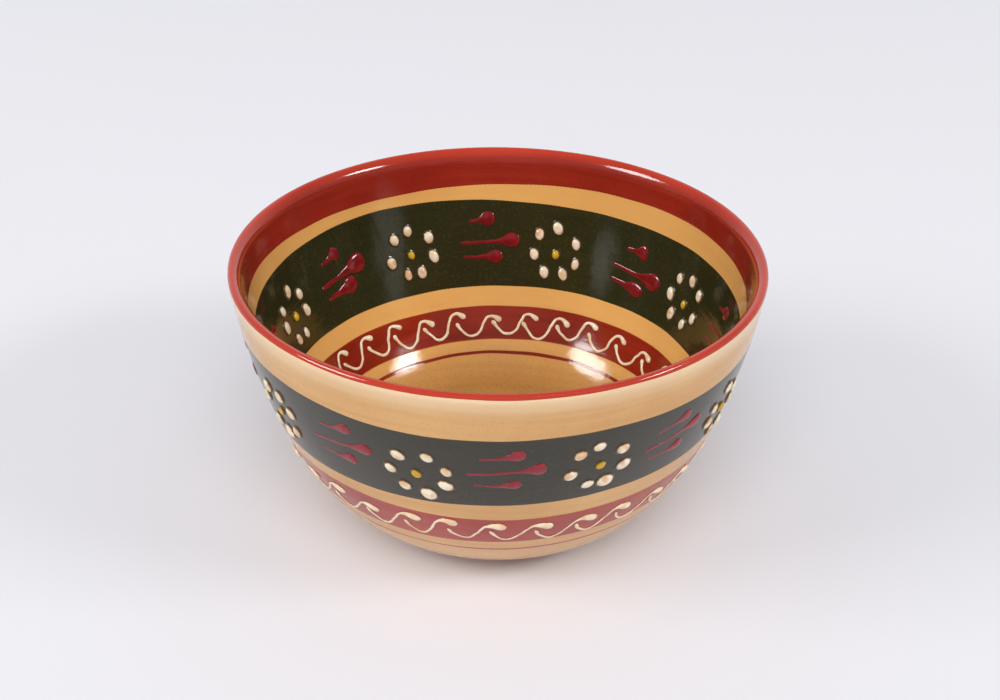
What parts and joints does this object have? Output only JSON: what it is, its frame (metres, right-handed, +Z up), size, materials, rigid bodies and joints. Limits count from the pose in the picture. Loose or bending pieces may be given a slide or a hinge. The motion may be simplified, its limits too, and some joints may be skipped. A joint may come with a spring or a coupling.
{
  "type": "slip-decorated bowl",
  "caption": "Deep round glazed earthenware bowl on a turned foot ring, with painted slip bands and raised slip-trailed flowers, sprigs and wave scrolls inside and out.",
  "frame": {"origin": "centre of the foot ring's resting face, on the axis that the bowl was thrown about", "axes": "+Z up along that axis, -Y towards the side that faces the viewer; the bowl is round, so X and Y are set by the decoration only"},
  "size_m": [0.1598, 0.1598, 0.086],
  "materials": {
    "clay": "bare fired red earthenware, matt",
    "cream_slip": "brushed cream slip with fine streaks under a clear gloss glaze",
    "brick_slip": "brushed brick-red slip under a clear gloss glaze",
    "green_slip": "dark green-black slip under a clear gloss glaze",
    "crimson_slip": "crimson slip strokes under a clear gloss glaze",
    "ivory_slip": "ivory slip, trailed thick, under a clear gloss glaze",
    "yellow_slip": "yellow slip, trailed thick, under a clear gloss glaze"
  },
  "bodies": {
    "root": {"clay_body": "clay", "ground_slip_outside": "cream_slip", "ground_slip_inside": "cream_slip", "lip_band": "brick_slip", "green_band_outside": "green_slip", "green_band_inside": "green_slip", "red_band_outside": "brick_slip", "red_band_inside": "brick_slip", "red_line_outside": "brick_slip", "red_line_inside": "brick_slip", "flower_centres_outside": "yellow_slip", "flower_centres_inside": "yellow_slip", "flower_outside_1": "ivory_slip", "flower_outside_2": "ivory_slip", "flower_outside_3": "ivory_slip", "flower_outside_4": "ivory_slip", "flower_outside_5": "ivory_slip", "flower_outside_6": "ivory_slip", "flower_outside_7": "ivory_slip", "flower_outside_8": "ivory_slip", "flower_outside_9": "ivory_slip", "flower_inside_1": "ivory_slip", "flower_inside_2": "ivory_slip", "flower_inside_3": "ivory_slip", "flower_inside_4": "ivory_slip", "flower_inside_5": "ivory_slip", "flower_inside_6": "ivory_slip", "flower_inside_7": "ivory_slip", "flower_inside_8": "ivory_slip", "sprig_outside_1": "crimson_slip", "sprig_outside_2": "crimson_slip", "sprig_outside_3": "crimson_slip", "sprig_outside_4": "crimson_slip", "sprig_outside_5": "crimson_slip", "sprig_outside_6": "crimson_slip", "sprig_outside_7": "crimson_slip", "sprig_outside_8": "crimson_slip", "sprig_outside_9": "crimson_slip", "sprig_inside_1": "crimson_slip", "sprig_inside_2": "crimson_slip", "sprig_inside_3": "crimson_slip", "sprig_inside_4": "crimson_slip", "sprig_inside_5": "crimson_slip", "sprig_inside_6": "crimson_slip", "sprig_inside_7": "crimson_slip", "sprig_inside_8": "crimson_slip", "scrolls_outside_1": "ivory_slip", "scrolls_outside_2": "ivory_slip", "scrolls_outside_3": "ivory_slip", "scrolls_inside_1": "ivory_slip", "scrolls_inside_2": "ivory_slip", "scrolls_inside_3": "ivory_slip"}
  },
  "joints": []
}
